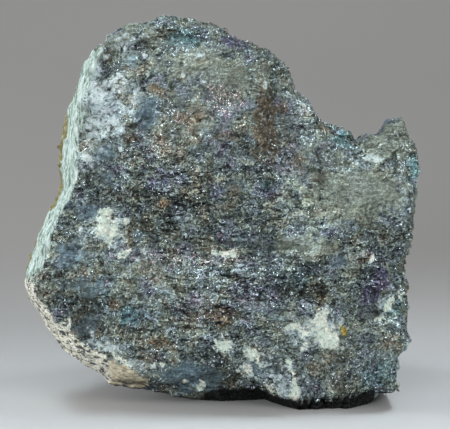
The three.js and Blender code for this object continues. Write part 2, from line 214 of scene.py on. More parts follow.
sketchScale = 0.986         # stone to the sketch that the patches were laid out on
patchFade = (0.3, 1.6)      # of a patch's half-size: full inside the first, gone at the second
faceDepth = (-24, -15)      # mm out from the face's plane, where the face's finishes begin and are full
faceLook = (-0.05, 0.25)    # the same for how squarely a place looks out of the face
patches = {
    "paleFilm": [
        # (1.5, -13.2) also paints the highlight of the bright pinkish spot where a ledge catches the light
        (-36, 31, 3.4, 11, 5, 0.9), (-39.5, 14, 2, 8, 8, 0.5), (1.5, -13.2, 3.2, 1.3, 0, 0.62),
        (-32, 28.5, 7, 10, 6, 0.62), (-25, 33, 5, 5, 0, 0.45), (-37, 18, 4, 8, 8, 0.5),
        (-38, 38, 3, 6, 10, 0.55), (-31, -6, 5, 8, 0, 0.45), (-38, -8, 5, 7, 0, 0.35),
        (-24, -14, 6, 4, 20, 0.35), (26, -34, 9, 6, -8, 0.66), (9, -41, 6, 6, 0, 0.4),
        (18, -48, 8, 4, -10, 0.55), (45, -28, 4, 6, -35, 0.45), (-33, -39, 6, 3, -42, 0.6),
        (-24, -43.5, 5, 2.4, -20, 0.55), (-8, 38, 9, 4, 0, 0.3), (22, 27, 3, 4, -40, 0.4),
        (38, -12, 3, 4, 0, 0.35), (28, -12, 8, 3, 0, 0.3), (-28, 46, 7, 3, 28, 0.4),
        (38, 12, 5, 3, 0, 0.4),
    ],
    "creamCrust": [
        (-35, 30.8, 2.6, 2.4, 0, 0.85), (-29.4, 35.6, 5.4, 1.6, 4, 0.52),
        (-30.1, 23.6, 2.8, 2.2, 0, 0.65), (-33.5, 26, 3, 4, 0, 0.42), (-37.5, 35, 2, 3, 0, 0.5),
        (-26, 29, 3, 3, 0, 0.36), (-21.4, 42.5, 0.8, 0.7, 0, 0.85), (-27.2, 44.2, 0.5, 1.4, -10, 0.8),
        (-20.6, 36.9, 0.5, 0.9, -20, 0.75), (-11.5, 50.8, 0.5, 0.6, 0, 0.75),
        (-33.3, 20.3, 1.8, 1.6, 0, 0.6), (-38.1, 14.2, 1.8, 1.5, 0, 0.75),
        # (1.4, -12.8) also paints the highlight where that ledge catches the light
        (-28.3, 16.7, 1.1, 1.1, 0, 0.75), (-32.2, -5, 2.4, 4.6, 12, 1), (1.4, -12.8, 3.6, 1.5, -4, 0.9),
        (-32.2, -1.2, 2.0, 1.6, 30, 0.85), (-26.9, -3.9, 1.1, 1.0, 0, 0.6),
        (-26.7, -12.5, 2.6, 1.1, 35, 0.7), (-6, 42.6, 0.6, 0.5, 0, 0.8), (-10.8, 36.9, 0.5, 0.8, 0, 0.8),
        (-5, 35, 0.6, 0.5, 15, 0.7), (11.9, 34.2, 0.5, 1.2, 0, 0.85), (42.5, 13.3, 2.8, 0.8, -8, 0.9),
        (12.2, 1.1, 2.4, 0.7, -5, 0.6), (-0.3, -38.1, 2.3, 2.6, 0, 0.72), (30.0, -37.0, 3.4, 3.0, -20, 1),
        (26.5, -34, 6, 3.6, -12, 0.66), (24.6, -35.0, 2.8, 2.4, 0, 0.6),
        (20.4, -32.6, 2.6, 1.5, 10, 0.75), (27.6, -31.2, 2.6, 2.2, 20, 0.9),
        (29.0, -29.2, 1.1, 1.0, 0, 0.7), (23, -38.5, 2, 1.6, 0, 0.5), (41.9, -13.9, 0.8, 1.7, -20, 0.9),
        (46.7, -26.7, 1.1, 3.4, -35, 0.75), (44.2, -30.6, 1.7, 1.0, 20, 0.7),
        (49.5, -24.5, 1.4, 2.4, -30, 0.6), (8.3, -40.8, 2.6, 1.8, -20, 0.75),
        (6.6, -44.8, 2.2, 1.8, 0, 0.62), (10.6, -43.0, 1.2, 2.0, 30, 0.5),
        (14.6, -49.8, 3.6, 1.8, -12, 0.66), (19.9, -47.5, 1.7, 3.2, -10, 0.75),
        (18, -43.6, 1.6, 1.8, 0, 0.5), (-6.1, -49.7, 1.8, 1.3, 0, 0.7), (-10.3, -48.9, 0.9, 0.7, 0, 0.8),
        (-28, -42.6, 3.6, 1.4, -38, 0.62), (-18.1, -44.2, 3.4, 1.4, -10, 0.5),
        (-43, -31.5, 1.6, 2.4, -40, 0.5),
    ],
    "brownStain": [
        (0, -30, 6, 2.6, -10, 0.75), (-16, -38, 4, 2, -20, 0.7), (12.2, 22.2, 3.2, 11, 5, 0.95),
        (17.5, 28.1, 1.8, 2.2, 0, 0.8), (-15.8, 1.4, 1.6, 1.3, 20, 1), (-10.3, 25, 5.0, 1.6, -6, 0.75),
        (-18.1, 32.5, 3.6, 1.5, -15, 0.8), (-25.3, 18.9, 1.6, 1.5, 0, 0.9),
        (-29.7, -27.2, 2.0, 1.9, 0, 0.8), (39.7, -13.3, 1.6, 1.6, 0, 1), (17, 18, 6, 6, 0, 0.4),
        (8, -26, 9, 3, 0, 0.35), (-20, -42, 5, 3, -20, 0.5), (-26, -9, 2, 4, 0, 0.5),
        (-8, -32, 7, 3, 0, 0.4), (-4, 41, 6, 2, 0, 0.35), (4, 40, 5, 3, 0, 0.35), (20, 12, 5, 4, 0, 0.5),
        (2, 20, 6, 3, 0, 0.5),
    ],
    "slateBlue": [
        (-38, -33.2, 3.6, 3.8, -30, 1), (-8.9, -47.3, 9.5, 4.2, -8, 1), (-32.5, 15.6, 3.2, 2.3, 0, 0.8),
        (-20.6, 26.9, 3.8, 5.2, 0, 0.8), (-25.6, 40.8, 3.0, 2.0, 0, 0.7),
        (-36.1, -22.8, 3.0, 3.2, 0, 0.8), (-23.1, -7.8, 2.0, 2.2, 0, 0.6), (-37, -1, 6, 3, -10, 0.7),
        (-41, -13, 5, 5, 0, 0.7), (12, -44, 7, 4, 0, 0.5), (33, -15, 3, 2, 0, 0.6),
        (36, -36, 3, 3, 0, 0.5), (-33, 8, 4, 3, 0, 0.6), (-38, -22, 6, 4, 0, 0.6), (3, 6, 5, 2.4, 0, 0.5),
        (16, -30, 6, 3, 0, 0.5), (-16, -24, 4, 4, 0, 0.45),
    ],
    "oliveFilm": [
        (-4.7, 40.6, 16, 5.2, -8, 0.8), (38.3, 4.4, 14.5, 7.5, 0, 0.95),
        (23.6, -10.3, 10.5, 2.8, -4, 0.8), (46.7, 18.9, 7, 5.6, 0, 0.8), (2, 36, 10, 5, 0, 0.7),
        (28, 15, 9, 6, 0, 0.5), (-24, -18, 7, 6, 0, 0.4), (40, -30, 7, 8, 0, 0.35),
        (-28, 48, 8, 2.6, 25, 0.8), (26, 2, 8, 3, 0, 0.6), (-20, 46, 8, 4, 0, 0.5),
    ],
    "darkToneAndShade": [                  # darker than what lies around, whatever the finish: partly the stone's own tone, partly painted shade, as on the top of the dome
        (-16, 47, 20, 5, 4, 0.65), (4, 44, 12, 5, -18, 0.65), (-33, 42, 6, 5, 40, 0.95),
        (-40, 30, 2, 5, 0, 0.5), (-5, 36, 15, 8, 0, 0.65), (28, -25, 11, 3, 0, 0.5),
        (-12, 28, 6, 5, 0, 0.85), (14, 24, 5, 10, 5, 0.7), (8, 16, 3, 4, 0, 0.8), (-25, 17, 4, 5, 0, 0.6),
        (-38, 8, 4, 4, 0, 0.6), (-32, 3, 7, 2.5, -12, 0.6), (28, 11, 5, 8, 0, 0.75),
        (38, 6, 14, 11, 0, 0.5), (46, 20, 8, 6, 0, 0.65), (47, 23, 8, 4, 0, 0.7),
        (30, 22, 5, 3, -40, 0.5), (8, -11, 3, 3, 0, 0.7), (-16, -11, 5, 3, 0, 0.45),
        (46, -11, 5, 5, 0, 0.7), (22, -24, 5, 4, 0, 0.85), (42, -31, 4, 4, 0, 0.8),
        (-38, -31, 7, 7, -35, 1), (-44, 2, 2.5, 4, 8, 0.9), (-1, -44.5, 7, 4, 0, 0.95),
        (15, -44, 3, 3, 0, 1), (-17, -50, 8, 3, 0, 0.7), (-45, 2, 3, 4, 0, 1), (35, -25, 4, 3, 0, 0.6),
        (29, -24, 5, 3, 0, 0.6), (-3, -30, 6, 5, 0, 0.6), (-38, 9, 4, 4, 0, 0.9), (-25, 16, 5, 3, 0, 0.7),
        (-32, 2, 5, 2.5, 0, 0.6), (14, -11, 9, 3, 0, 0.6), (45, -11, 6, 6, 0, 0.7),
        (54, -4, 3, 5, 0, 0.7), (34, -44, 7, 4, 0, 0.6), (-5, 25, 5, 6, 0, 0.5), (-19, 2, 3, 3, 0, 0.6),
        (-18, -18, 3, 3, 0, 0.5), (44, -21, 3, 6, -35, 0.35), (28, -28, 6, 4, 0, 0.5),
        (-42, -36, 5, 4, -40, 0.7), (40, -38, 5, 4, 0, 0.6),
    ],
    "paleToneAndLight": [                 # lighter than what lies around: partly the stone's own tone, partly painted light, such as the highlight along the teal edge at (53, 9)
        (-15, 9, 5, 4, 0, 0.5), (17, 3, 8, 7, 0, 0.9), (4, -5, 4, 3, 0, 0.5), (-38, -14, 5, 5, 0, 0.4),
        (-26, -19, 6, 5, 0, 0.5), (0, -18, 8, 3.5, 0, 0.9), (-14, -27, 6, 6, 0, 0.5),
        (53, 9, 2, 5, 0, 0.8), (22, -5, 9, 3.5, 0, 0.7), (8, -37, 3, 3, 0, 0.6), (28, -34, 6, 6, 0, 0.4),
        (-30, -8, 7, 5, 0, 0.8), (-14, 13, 8, 4, 0, 0.5), (-25, 42, 4, 3, 0, 0.7),
        (-14, 12, 7, 4, 0, 0.4), (-10, -32, 5, 3, 0, 0.4), (8, -25, 4, 3, 0, 0.4),
        (-25, 42, 3, 3, 0, 0.5), (-34, -17, 9, 3, 0, 0.5), (8, -4, 3, 3, 0, 0.5),
        (25, -51, 12, 2, 0, 0.7), (38, -51, 7, 3, 0, 1), (-15, 9, 6, 3, 0, 0.8),
        # (1.5, -13) paints the highlight where that ledge catches the light
        (-38, -16, 10, 5, 0, 0.5), (1.5, -13, 4, 1.6, 0, 1), (46, 22, 4, 3, 0, 0.2),
        (-6, 48, 16, 3, 0, 0.3),
    ],
    "violetTarnish": [
        (43.6, -21.8, 3.0, 7, -35, 1), (12.5, 4.7, 3.4, 2.4, 0, 0.6), (30, -6.7, 1.8, 1.4, 0, 0.5),
        (-1.4, 5, 4.4, 3.0, 0, 0.52), (-16, 8, 8, 4, 0, 0.5), (4, 47, 4, 2.5, -20, 0.7),
        (-20, -22, 4, 4, 0, 0.45), (8, -22, 10, 3, 0, 0.5), (34, -34, 2, 4, 0, 0.3),
    ],
    "tealTarnish": [
        (34.2, 19, 3.2, 2.6, 0, 1), (53.1, 11.4, 1.7, 5.2, 0, 0.66), (-10.3, 47.6, 5.5, 2.6, -5, 0.85),
        (43.9, -46, 5.5, 4.6, 0, 0.58), (12, 6, 3, 2, 0, 0.6), (-26, -30, 5, 3, 0, 0.7),
        (6, -8, 3, 2, 0, 0.5), (-30, -26, 6, 6, 0, 0.4), (48, -28, 4, 4, 0, 0.5), (22, -20, 6, 4, 0, 0.4),
    ],
    "roseGlints": [
        (0.8, 30, 5, 5, 0, 0.9), (0.5, -13.6, 7, 2.6, 0, 1), (-14, -14, 10, 4, 0, 0.7),
        (-6, -28, 10, 5, 0, 0.5), (-18, 16, 9, 5, 0, 0.45), (16, 4, 5, 4, 0, 0.45),
        (-8, 24, 8, 5, 0, 0.45),
    ],
    "blueGlints": [
        (20.8, -5.3, 3.6, 3.6, 0, 1), (21.7, 27.6, 3.0, 3.4, -40, 1), (-16, 27, 4, 4, 0, 0.6),
        (-12, 44, 7, 3, 0, 0.6), (-30, 5, 8, 4, 0, 0.4), (34, 17, 3, 1.5, 0, 0.7),
        (-23, -8, 2, 2, 0, 0.9), (50, 12, 3, 2, 0, 0.8), (12, -40, 9, 5, 0, 0.4),
        (46, -24, 3, 4, -35, 0.5), (30, -46, 18, 6, 0, 0.3), (46, -42, 5, 8, 0, 0.4),
    ],
    "rough": [                     # ledges, and the black shadows painted in the gaps under them
        (-6, 0, 26, 11, -10, 1), (6, -22, 30, 14, -4, 1), (-22, 12, 12, 8, 0, 0.6),
        (43, -8, 9, 8, 0, 0.8), (30, -22, 14, 8, 0, 0.9), (0, -36, 22, 6, 0, 0.6),
        (14, 12, 8, 10, 0, 0.5),
    ],
    "brass": [(33.7, -34.5, 1.3, 1.7, 15, 1)],
    "even": [                      # fine and flat, with little relief
        (-4, 33, 19, 14, 0, 1), (14, 24, 7, 14, 0, 0.9), (28, 12, 12, 8, 0, 0.9), (39, 3, 15, 8, 0, 1),
        (21, -10, 11, 4, 0, 0.8), (46, 19, 7, 6, 0, 0.8), (-20, -18, 9, 8, 0, 0.6),
        (34, -38, 14, 8, 0, 0.5),
    ],
}

creases = [     # ragged sunken lines on the face, also painted darker as shade: across, up and half-width along each
    [(-23.1, 0.3, 1.0), (-21.8, -3, 1.5), (-19.4, -6.3, 1.2), (-17.6, -11, 0.9), (-14.4, -16.7, 0.6)],
    [(-15.8, 3.6, 1.0), (-11.1, 2.2, 1.7), (-4.7, -1.1, 2.2), (4, -1.8, 1.2), (11.1, -3.9, 1.8)],
    [(0.8, -17.2, 0.6), (6, -20.4, 1.4), (11.1, -22.8, 1.0)],
    [(13, -12.6, 0.6), (16.4, -13.9, 1.4), (21.7, -15.3, 1.6), (26.4, -16.4, 0.8)],
    [(14, -21.8, 0.6), (17.2, -22.5, 1.2), (23.6, -23.6, 0.9)],
    [(50.8, -21.4, 0.9), (47.2, -25.6, 1.1), (42.5, -32.5, 0.8)],
    [(26.7, 16.1, 0.5), (28, 9, 0.8), (27.2, 2.2, 0.5)],
    [(-34, 5.6, 0.8), (-27.6, 3.6, 1.5), (-21.4, 4.6, 1.0)],
]

rindSet = {
    "arris": [                         # where the rind's side face meets the broken face: up, across
        (-19, -53.5), (-17.2, -52.2), (-14.4, -50), (-11.7, -48.6), (-6.1, -47.5), (2.2, -46.8),
        (10.6, -43.9), (16.1, -41), (24.4, -39), (30, -38.4), (35.6, -37), (41.1, -35), (46, -33),
    ],
    "reach": (-19, 45),                # up the face, where it starts and ends
    "endFades": (2, 4),                # mm to either side, over which it starts and ends
    "depth": (-13, -17),               # behind the face's plane, where it gives way to the ochre layer
    "ochreDepth": (-24, -18),          # where the ochre layer begins and is full
    "pastArris": (-2.2, 1.6),          # mm past the arris, where the rind begins and is full
    "leftLook": (-0.25, -0.6),         # how far left a place looks, where it turns to rind
    "leftOf": (-20, -34),              # across, and how far left such a place has to lie
    "strip": [                         # along the lower left edge: across, up, half-width
        (-53, -24, 1.3), (-50.4, -29.4, 1.8), (-46.6, -35.2, 2.5), (-41, -40.6, 3.9), (-33, -45.6, 4.7),
        (-27, -47.8, 3.6), (-22.5, -49.2, 1.8),
    ],
    "stripFade": (0.5, 1.45),          # of its half-width: full inside the first, gone at the second
    "stripDepth": (-26, -18),          # mm out from the face's plane, where it begins and is full
    "tanFrom": (-34, -29),             # across, where the strip turns from cream to tan
    "tanBelow": (-36, -45),            # up the face, and how low it has to be for that
}

broadFinishes = [     # on the sides and the back: cell in mm, and the noise where each begins and is full
    ("creamCrust", 13, 0.5, 0.85), ("paleFilm", 15, 0.2, 0.8), ("oliveFilm", 17, 0.1, 0.5),
    ("slateBlue", 15, 0.2, 0.6), ("brownStain", 14, 0.25, 0.6), ("violetTarnish", 12, 0.2, 0.6),
    ("tealTarnish", 12, 0.2, 0.6), ("darkToneAndShade", 16, 0.1, 0.6), ("roseGlints", 13, 0.2, 0.6),
    ("blueGlints", 13, 0.2, 0.6), ("rough", 18, -0.3, 0.5), ("even", 17, 0, 0.6),
]


def paintPatches(sketch, onFace, warp, group):
    # each patch is full in its middle and fades past its edge, and the strongest one wins
    value = np.zeros(len(sketch))
    for across, up, halfWidth, halfHeight, turn, strength in group:
        angle = math.radians(turn)
        dx, dy = sketch[:, 0] - across, sketch[:, 1] - up
        along = (dx * math.cos(angle) + dy * math.sin(angle)) / halfWidth
        over = (-dx * math.sin(angle) + dy * math.cos(angle)) / halfHeight
        value = np.maximum(value, strength * (1 - smoothStep(*patchFade, np.hypot(along, over) + warp)))
    return value * onFace


def lineDistance(sketch, line):
    # distance from a line across the face, as a share of the half-width it has there
    nearest = np.full(len(sketch), np.inf)
    x, y = sketch[:, 0], sketch[:, 1]
    for (x0, y0, w0), (x1, y1, w1) in zip(line, line[1:]):
        dx, dy = x1 - x0, y1 - y0
        t = np.clip(((x - x0) * dx + (y - y0) * dy) / (dx * dx + dy * dy), 0, 1)
        gap = np.hypot(x - x0 - t * dx, y - y0 - t * dy)
        nearest = np.minimum(nearest, gap / (w0 + t * (w1 - w0)))
    return nearest


def mapFinishes(stone, r):
    mesh = stone.data
    local = toFace(readVectors(mesh, "co"))
    across, up, out = local.T
    sketch = local / sketchScale
    facing = readVectors(mesh, "normal") @ faceAxes
    warp = 0.4 * noiseAt(local, 2.8, 21) + 0.15 * noiseAt(local, 1.7, 22)
    onFace = smoothStep(*faceDepth, out) * smoothStep(*faceLook, facing[:, 2])
    zones = {name: paintPatches(sketch, onFace, warp, group) for name, group in patches.items()}
    nearest = np.minimum.reduce([lineDistance(sketch, line) for line in creases])
    torn = nearest + 1.3 * warp + 0.5 * noiseAt(local, 1.3, 29) + smoothStep(-0.2, 0.7, noiseAt(local, 5, 30))
    zones["crease"] = onFace * (1 - smoothStep(0.1, 1.9, torn))

    # the rind's side face, the ochre layer behind it and the strip below
    heights, acrosses = zip(*r["arris"])
    smear = noiseAt(local, 1, 26, (1.0, 4.5, 2))
    beyond = np.interp(sketch[:, 1], heights, acrosses) - sketch[:, 0]
    beyond += warp + 1.5 * smear
    (bottom, top), (bottomFade, topFade) = r["reach"], r["endFades"]
    alongEdge = smoothStep(bottom - bottomFade, bottom + bottomFade, up + 3 * warp)
    alongEdge *= 1 - smoothStep(top - topFade, top + topFade, up + 6 * warp)
    fromStrip = lineDistance(sketch, r["strip"])
    sideways = smoothStep(*r["leftLook"], facing[:, 0] + 0.14 * noiseAt(local, 5, 23))
    faceStep = smoothStep(2, 3, fromStrip) * smoothStep(-8, -4, out) * smoothStep(-15, -22, up)
    sideways *= (1 - faceStep) * smoothStep(*r["leftOf"], across)     # not steps within the face
    leftFace = np.maximum(smoothStep(*r["pastArris"], beyond), sideways)
    behind = smoothStep(*r["depth"], out + 1.6 * noiseAt(local, 6, 24) + 2 * warp)
    strip = 1 - smoothStep(*r["stripFade"], fromStrip + 0.6 * warp)
    lowLeft = leftFace * smoothStep(-16, -24, up) * smoothStep(-28, -20, out)
    zones["mintRind"] = leftFace * alongEdge * (1 - behind)
    zones["creamRind"] = np.maximum(strip * smoothStep(*r["stripDepth"], out), lowLeft)
    zones["ochreLayer"] = leftFace * behind * smoothStep(*r["ochreDepth"], out) * alongEdge
    zones["tan"] = smoothStep(*r["tanFrom"], across) * smoothStep(*r["tanBelow"], up)

    # the sides and the back have the same finishes in broad patches
    hidden = 1 - onFace
    for seed, (name, cell, low, high) in enumerate(broadFinishes):
        broad = smoothStep(low, high, noiseAt(local, cell, 31 + seed) + 0.5 * warp)
        zones[name] = np.maximum(zones[name], hidden * broad)
    return zones


zones = mapFinishes(stone, rindSet)
print("finishes mapped")


def roughenStone(stone, s, zones):
    mesh = stone.data
    points = readVectors(mesh, "co")
    normals = readVectors(mesh, "normal")
    local = toFace(points)
    sketch = local / sketchScale
    rind = np.maximum(zones["mintRind"], zones["creamRind"])
    uneven = 1 - np.maximum.reduce([zones[name] * share for name, share in s["flattened"].items()])

    for across, up, radius, lift in s["nudges"]:
        gap = np.hypot(sketch[:, 0] - across, sketch[:, 1] - up)
        points += np.outer(np.exp(-(gap / radius) ** 2) * lift * mm, upFace)

    height = np.zeros(len(points))
    for seed, (cell, rise) in enumerate(s["swell"]):
        height += rise * noiseAt(local, cell, seed + 1) * (1 - 0.5 * zones["even"] * (cell < s["fineSwell"]))
    for seed, (size, slope) in enumerate(s["chips"]):
        height += chipsAt(local, size, slope, seed + 6, s["chipStretch"]) * uneven
    for seed, (period, rise, undercut) in enumerate(s["ledges"]):
        patchy = smoothStep(-0.5, 0.3, noiseAt(local, 1.6 * period, 12 + seed, (s["ledgeStretch"], 1, 1)))
        ledgy = np.clip(0.4 + zones["rough"], 0, 1) * uneven * patchy
        height += rise * ledgy * ledgesAt(local, period, undercut, 14 + 3 * seed, s["ledgeStretch"])
    for seed, (cell, rise) in enumerate(s["grain"]):
        height += rise * noiseAt(local, cell, seed + 24) * (1 - 0.5 * rind)
    height -= s["creaseDepth"] * zones["crease"]
    thickness, lumps, cell = s["crust"]
    height += zones["creamCrust"] * (thickness + lumps * noiseAt(local, cell, 27))
    spacing, ridge = s["rindStreak"]
    height += ridge * rind * noiseAt(local, 1, 28, (0.6, spacing, 0.6))

    free = smoothStep(*s["footHeld"], points[:, 2] / mm)     # nothing moves at the foot
    points += normals * (height * free * mm)[:, None]
    points[:, 2] = np.maximum(points[:, 2], 0)

    # the underside comes down to the floor behind the front contact line, and less so towards the
    # line's ends and the back, where it looks upwards, and high up
    xs, ys = zip(*s["contact"])
    x, y, z = (points / mm).T
    ahead = np.maximum(np.interp(x, xs, ys) - y, 0)
    nearby = smoothStep(xs[0], xs[0] + 8, x) * smoothStep(xs[-1] + 2, xs[-1] - 6, x) * smoothStep(-5, -13, y)
    lowered = np.minimum(z, s["frontRise"] * ahead * (1 + 0.4 * noiseAt(local, 3, 34)))
    points[:, 2] += (lowered - z) * nearby * smoothStep(0.3, -0.1, normals[:, 2]) * smoothStep(12, 8, z) * mm
    writePoints(mesh, points)


def markHollows(stone, s, zones):
    # how far each place lies below or above its surroundings, for painted shade in hollows and painted
    # highlights on high spots
    mesh = stone.data
    points = readVectors(mesh, "co")
    normals = readVectors(mesh, "normal")
    ends = np.empty(len(mesh.edges) * 2, np.int32)
    mesh.edges.foreach_get("vertices", ends)
    first, second = ends[0::2], ends[1::2]
    neighbours = np.bincount(ends, minlength=len(points))
    even = points.copy()
    for _ in range(s["hollowPasses"]):
        total = np.zeros_like(even)
        for axis in range(3):
            total[:, axis] = np.bincount(first, even[second, axis], len(points))
            total[:, axis] += np.bincount(second, even[first, axis], len(points))
        even = total / neighbours[:, None]
    depth = ((even - points) * normals).sum(axis=1) / mm
    zones["hollow"] = smoothStep(0.0, s["hollowDepth"], depth)
    zones["proudHighlight"] = smoothStep(0.0, s["proudHeight"], -depth)

    # painted shade on the underside: near black on what faces the floor, and on what lies below the broken
    # face's lower edge
    sketch = toFace(points) / sketchScale
    edge = np.interp(sketch[:, 0], *zip(*s["lowerEdge"]))
    low = smoothStep(*s["unlitBelow"], points[:, 2] / mm)
    below = smoothStep(0.4, -0.2, sketch[:, 1] - edge + 0.35 * noiseAt(sketch, 1.5, 33))
    zones["underside"] = low * np.maximum(smoothStep(*s["unlitLook"], normals[:, 2]), below)


roughenStone(stone, surfaceSet, zones)
markHollows(stone, surfaceSet, zones)
for name, values in zones.items():
    attribute = stone.data.attributes.new(name, "FLOAT", "POINT")
    attribute.data.foreach_set("value", values.astype(np.float32))
print("surface broken up")


def screenColour(red, green, blue):
    # 0 to 255 as picked on a screen, to the linear values a shader wants
    linear = [(c / 255 / 12.92 if c < 11 else ((c / 255 + 0.055) / 1.055) ** 2.4) for c in (red, green, blue)]
    return (*linear, 1)


def addNode(tree, kind, **settings):
    node = tree.nodes.new("ShaderNode" + kind)
    for name, value in settings.items():
        setattr(node, name, value)
    return node


def feed(tree, socket, value):
    if isinstance(value, bpy.types.NodeSocket):
        tree.links.new(value, socket)
    else:
        socket.default_value = value


def reckon(tree, operation, first, second=0.0, third=0.0):
    node = addNode(tree, "Math", operation=operation)
    for socket, value in zip(node.inputs, (first, second, third)):
        feed(tree, socket, value)
    return node.outputs[0]


def times(tree, first, *others):
    for other in others:
        first = reckon(tree, "MULTIPLY", first, other)
    return first


def largest(tree, first, *others):
    for other in others:
        first = reckon(tree, "MAXIMUM", first, other)
    return first


def remainder(tree, value):
    return reckon(tree, "SUBTRACT", 1.0, value)


def ramped(tree, value, low, high, toLow=0.0, toHigh=1.0):
    node = addNode(tree, "MapRange", interpolation_type="SMOOTHSTEP")
    for socket, given in zip(node.inputs, (value, low, high, toLow, toHigh)):
        feed(tree, socket, given)
    return node.outputs[0]


def between(tree, mask, without, within):
    # one value outside a mask, another inside it
    return ramped(tree, mask, 0, 1, without, within)


def blended(tree, amount, under, over, mode="MIX"):
    node = addNode(tree, "Mix", data_type="RGBA", blend_type=mode)
    feed(tree, node.inputs["Factor"], amount)
    feed(tree, node.inputs[6], under)
    feed(tree, node.inputs[7], over)
    return node.outputs[2]


def vectorMath(tree, operation, first, second=None, scale=None):
    node = addNode(tree, "VectorMath", operation=operation)
    feed(tree, node.inputs[0], first)
    if second is not None:
        feed(tree, node.inputs[1], second)
    if scale is not None:
        feed(tree, node.inputs["Scale"], scale)
    return node.outputs[0]


def placed(tree, vector, scale, turn=(0, 0, 0)):
    node = addNode(tree, "Mapping")
    feed(tree, node.inputs["Vector"], vector)
    node.inputs["Scale"].default_value = scale
    node.inputs["Rotation"].default_value = turn
    return node.outputs[0]


def cloudy(tree, vector, scale, detail=2.0, roughness=0.5, distortion=0.0, output="Fac"):
    node = addNode(tree, "TexNoise")
    feed(tree, node.inputs["Vector"], vector)
    feed(tree, node.inputs["Scale"], scale)
    node.inputs["Detail"].default_value = detail
    node.inputs["Roughness"].default_value = roughness
    node.inputs["Distortion"].default_value = distortion
    return node.outputs[output]


def newGroup(name, ins, outs):
    tree = bpy.data.node_groups.new(name, "ShaderNodeTree")
    for label, kind, value in ins:
        socket = tree.interface.new_socket(label, in_out="INPUT", socket_type="NodeSocket" + kind)
        if value is not None:
            socket.default_value = value
    for label, kind in outs:
        tree.interface.new_socket(label, in_out="OUTPUT", socket_type="NodeSocket" + kind)
    return tree, tree.nodes.new("NodeGroupInput").outputs, tree.nodes.new("NodeGroupOutput").inputs


def useGroup(tree, group, **values):
    node = addNode(tree, "Group", node_tree=group)
    for label, value in values.items():
        feed(tree, node.inputs[label], value)
    return node.outputs


def makeGrainGroup():
    # crystal grains: a random shade, hue and tilt for each
    tree, given, made = newGroup(
        "oreGrain",
        [("Vector", "Vector", None), ("Size", "Float", 0.5), ("Tilt", "Float", 1.0)],
        [("Shade", "Float"), ("Hue", "Float"), ("Pick", "Float"), ("Lean", "Vector")])
    cells = addNode(tree, "TexVoronoi", feature="F1")
    feed(tree, cells.inputs["Vector"], given["Vector"])
    feed(tree, cells.inputs["Scale"], reckon(tree, "DIVIDE", 1.0, given["Size"]))
    parts = addNode(tree, "SeparateColor")
    feed(tree, parts.inputs[0], cells.outputs["Color"])
    for label, part in zip(("Shade", "Hue", "Pick"), parts.outputs):
        feed(tree, made[label], part)
    centred = vectorMath(tree, "SUBTRACT", cells.outputs["Color"], (0.5, 0.5, 0.5))
    feed(tree, made["Lean"], vectorMath(tree, "SCALE", centred, scale=given["Tilt"]))
    return tree


def makePatchGroup():
    # a painted patch torn by noise: Ragged is how far its edge strays, Soft how gently it ends
    tree, given, made = newGroup(
        "raggedPatch",
        [("Patch", "Float", 0.0), ("Vector", "Vector", None), ("Size", "Float", 1.0),
         ("Ragged", "Float", 0.6), ("Soft", "Float", 0.1)],
        [("Mask", "Float")])
    tear = cloudy(tree, given["Vector"], reckon(tree, "DIVIDE", 1.0, given["Size"]), 5, 0.65)
    inside = reckon(tree, "MINIMUM", times(tree, given["Patch"], 6.0), 1.0)
    stray = times(tree, reckon(tree, "SUBTRACT", tear, 0.5), given["Ragged"], inside)
    torn = reckon(tree, "ADD", given["Patch"], stray)
    low = reckon(tree, "SUBTRACT", 0.5, given["Soft"])
    high = reckon(tree, "ADD", 0.5, given["Soft"])
    feed(tree, made["Mask"], ramped(tree, torn, low, high))
    return tree


